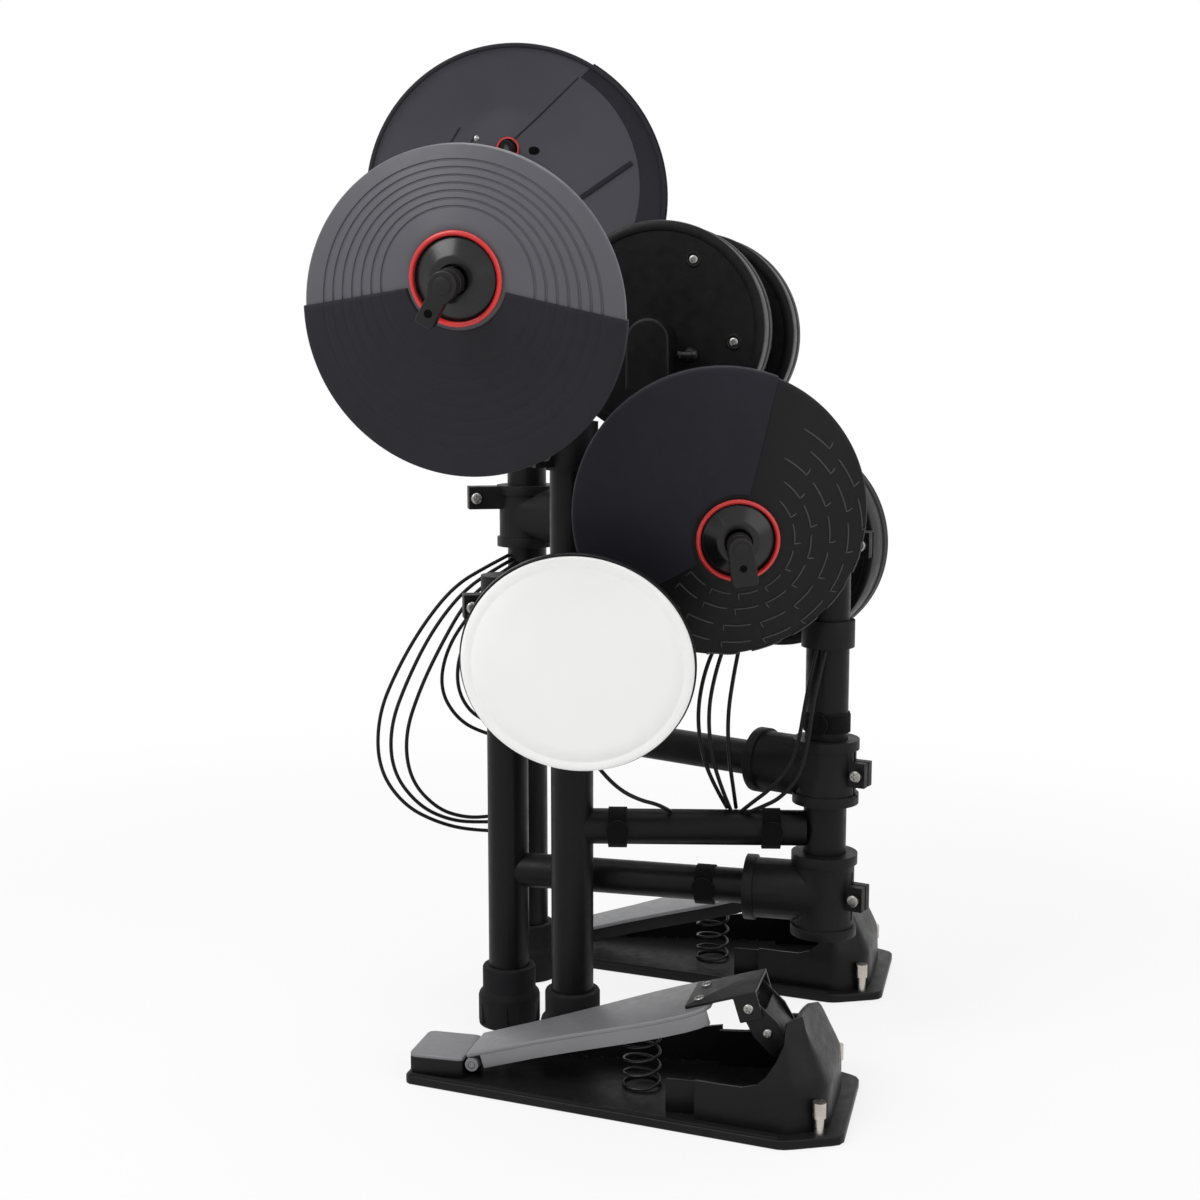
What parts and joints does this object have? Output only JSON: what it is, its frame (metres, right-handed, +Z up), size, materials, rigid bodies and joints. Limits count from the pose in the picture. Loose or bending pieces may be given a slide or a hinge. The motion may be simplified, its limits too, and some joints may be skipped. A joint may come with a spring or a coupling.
{
  "type": "electronic drum kit",
  "caption": "Folded electronic drum kit: tubular rack on rubber feet with round playing pads, plastic cymbal pads on bent rods, foot pedals and looped cables.",
  "frame": {"origin": "centre of the short leg's rubber foot, on the floor", "axes": "+X towards the side that carries the snare pad, +Y from the legs to the hub post, +Z up"},
  "size_m": [0.5957, 0.5356, 0.9268],
  "materials": {
    "foot_rubber": "matt moulded rubber",
    "rack_tube": "satin black powder coat",
    "clamp_plastic": "fine-grained moulding",
    "screw_steel": "zinc-plated",
    "rod_steel": "satin black",
    "white_head": "smooth matt",
    "tom_rubber": "smooth matt",
    "sensor_foam": "open foam",
    "pad_plastic": "satin moulding",
    "cymbal_plastic": "satin moulding",
    "cymbal_rubber": "matt",
    "red_ring": "gloss",
    "nut_plastic": "gloss moulding",
    "strap_fabric": "hook-and-loop",
    "pedal_plastic": "satin moulding",
    "silver_board": "silver-grey satin coat",
    "black_steel": "satin black",
    "spring_steel": "oiled wire",
    "spur_steel": "bright plating, knurled",
    "cable_rubber": "matt sheath"
  },
  "bodies": {
    "leg": {"leg_frame": "rack_tube", "lower_tee": "clamp_plastic", "leg_foot": "foot_rubber", "leg_clamp": "clamp_plastic", "leg_screws": "screw_steel"},
    "near_arm": {"near_frame": "rack_tube", "near_foot": "foot_rubber", "near_clamps": "clamp_plastic", "near_rods": "rod_steel", "near_straps": "strap_fabric", "near_screws": "screw_steel", "near_cables": "cable_rubber"},
    "far_arm": {"far_frame": "rack_tube", "far_tees": "clamp_plastic", "tom_bar": "rack_tube", "far_foot": "foot_rubber", "far_clamps": "clamp_plastic", "crash_rod": "rod_steel", "tom_rods": "rod_steel", "far_screws": "screw_steel", "far_cables": "cable_rubber"},
    "snare": {"snare_shell": "pad_plastic", "snare_hoop": "pad_plastic", "snare_head": "white_head", "snare_sensor": "sensor_foam"},
    "tom_one": {"tom_one_shell": "pad_plastic", "tom_one_head": "tom_rubber", "tom_one_sensor": "sensor_foam"},
    "tom_two": {"tom_two_shell": "pad_plastic", "tom_two_head": "tom_rubber", "tom_two_sensor": "sensor_foam"},
    "tom_three": {"tom_three_shell": "pad_plastic", "tom_three_head": "tom_rubber", "tom_three_sensor": "sensor_foam"},
    "hihat": {"hihat_plate": "cymbal_plastic", "hihat_zone": "cymbal_rubber", "hihat_ring": "red_ring"},
    "hihat_nut": {"hihat_wingnut": "nut_plastic"},
    "ride": {"ride_plate": "cymbal_plastic", "ride_zone": "cymbal_rubber", "ride_ring": "red_ring"},
    "ride_nut": {"ride_wingnut": "nut_plastic"},
    "crash": {"crash_plate": "cymbal_plastic", "crash_zone": "cymbal_rubber", "crash_ring": "red_ring"},
    "crash_nut": {"crash_wingnut": "nut_plastic"},
    "near_pedal": {"near_pedal_base": "pedal_plastic", "near_pedal_heel_plate": "silver_board", "near_pedal_spring": "spring_steel", "near_pedal_spurs": "spur_steel"},
    "near_board": {"near_pedal_footboard": "silver_board", "near_pedal_toe_bracket": "black_steel"},
    "near_link": {"near_pedal_toe_link": "black_steel"},
    "far_pedal": {"far_pedal_base": "pedal_plastic", "far_pedal_heel_plate": "silver_board", "far_pedal_spring": "spring_steel", "far_pedal_spurs": "spur_steel"},
    "far_board": {"far_pedal_footboard": "silver_board", "far_pedal_toe_bracket": "black_steel"},
    "far_link": {"far_pedal_toe_link": "black_steel"}
  },
  "joints": [
    {"name": "near_swing", "type": "hinge", "parent": "leg", "child": "near_arm", "pos_m": [0.074, 0.287, 0], "axis": [0, 0, 1], "range_deg": [0, 45]},
    {"name": "far_swing", "type": "hinge", "parent": "leg", "child": "far_arm", "pos_m": [0.074, 0.287, 0], "axis": [0, 0, 1], "range_deg": [-45, 0]},
    {"name": "snare_swivel", "type": "hinge", "parent": "near_arm", "child": "snare", "pos_m": [0.14428, 0.07286, 0.39201], "axis": [0.2574, -0.0271, 0.9659], "range_deg": [-10, 10]},
    {"name": "tom_one_swivel", "type": "hinge", "parent": "far_arm", "child": "tom_one", "pos_m": [0.05352, 0.12977, 0.65], "axis": [0, 0, 1], "range_deg": [-10, 10]},
    {"name": "tom_two_swivel", "type": "hinge", "parent": "far_arm", "child": "tom_two", "pos_m": [-0.03848, 0.16477, 0.645], "axis": [0, 0, 1], "range_deg": [-4, 10]},
    {"name": "tom_three_swivel", "type": "hinge", "parent": "far_arm", "child": "tom_three", "pos_m": [0.0016, 0.23736, 0.456], "axis": [0, 0, 1], "range_deg": [-5, 5]},
    {"name": "hihat_tilt", "type": "hinge", "parent": "near_arm", "child": "hihat", "pos_m": [0.318, -0.018, 0.684], "axis": [0.2079, 0.9781, 0], "range_deg": [-6, 6]},
    {"name": "hihat_nut_turn", "type": "hinge", "parent": "near_arm", "child": "hihat_nut", "pos_m": [0.318, -0.018, 0.684], "axis": [0.9633, -0.2048, -0.1736], "range_deg": [-180, 180]},
    {"name": "ride_tilt", "type": "hinge", "parent": "near_arm", "child": "ride", "pos_m": [0.16, 0.2, 0.477], "axis": [0, 1, 0], "range_deg": [-6, 6]},
    {"name": "ride_nut_turn", "type": "hinge", "parent": "near_arm", "child": "ride_nut", "pos_m": [0.16, 0.2, 0.477], "axis": [0.9903, 0, -0.1392], "range_deg": [-180, 180]},
    {"name": "crash_tilt", "type": "hinge", "parent": "far_arm", "child": "crash", "pos_m": [-0.185, -0.005, 0.829], "axis": [0, -1, 0], "range_deg": [-5, 5]},
    {"name": "crash_nut_turn", "type": "hinge", "parent": "far_arm", "child": "crash_nut", "pos_m": [-0.185, -0.005, 0.829], "axis": [-1, 0, 0], "range_deg": [-180, 180]},
    {"name": "near_pedal_slide", "type": "slide", "parent": "near_arm", "child": "near_pedal", "axis": [-0.2419, -0.9703, 0], "range_m": [0, 0.015]},
    {"name": "near_board_press", "type": "hinge", "parent": "near_pedal", "child": "near_board", "pos_m": [0.13151, -0.01878, 0.021], "axis": [-0.9703, 0.2419, 0], "range_deg": [0, 8], "stiffness_Nm_per_rad": 12, "springref_deg": -11.46, "deforming": ["near_pedal_spring"]},
    {"name": "near_link_turn", "type": "hinge", "parent": "near_board", "child": "near_link", "pos_m": [0.18985, 0.21519, 0.0942], "axis": [-0.9703, 0.2419, 0], "range_deg": [-40, 0]},
    {"name": "far_pedal_slide", "type": "slide", "parent": "far_arm", "child": "far_pedal", "axis": [-0.2419, -0.9703, 0], "range_m": [0, 0.05]},
    {"name": "far_board_press", "type": "hinge", "parent": "far_pedal", "child": "far_board", "pos_m": [-0.19498, 0.06222, 0.021], "axis": [-0.9703, 0.2419, 0], "range_deg": [0, 8], "stiffness_Nm_per_rad": 12, "springref_deg": -11.46, "deforming": ["far_pedal_spring"]},
    {"name": "far_link_turn", "type": "hinge", "parent": "far_board", "child": "far_link", "pos_m": [-0.13665, 0.29619, 0.0942], "axis": [-0.9703, 0.2419, 0], "range_deg": [-40, 0]}
  ],
  "couplings": [
    {"joint": "near_link_turn", "follows": "near_board_press", "ratio": -5},
    {"joint": "far_link_turn", "follows": "far_board_press", "ratio": -5}
  ]
}
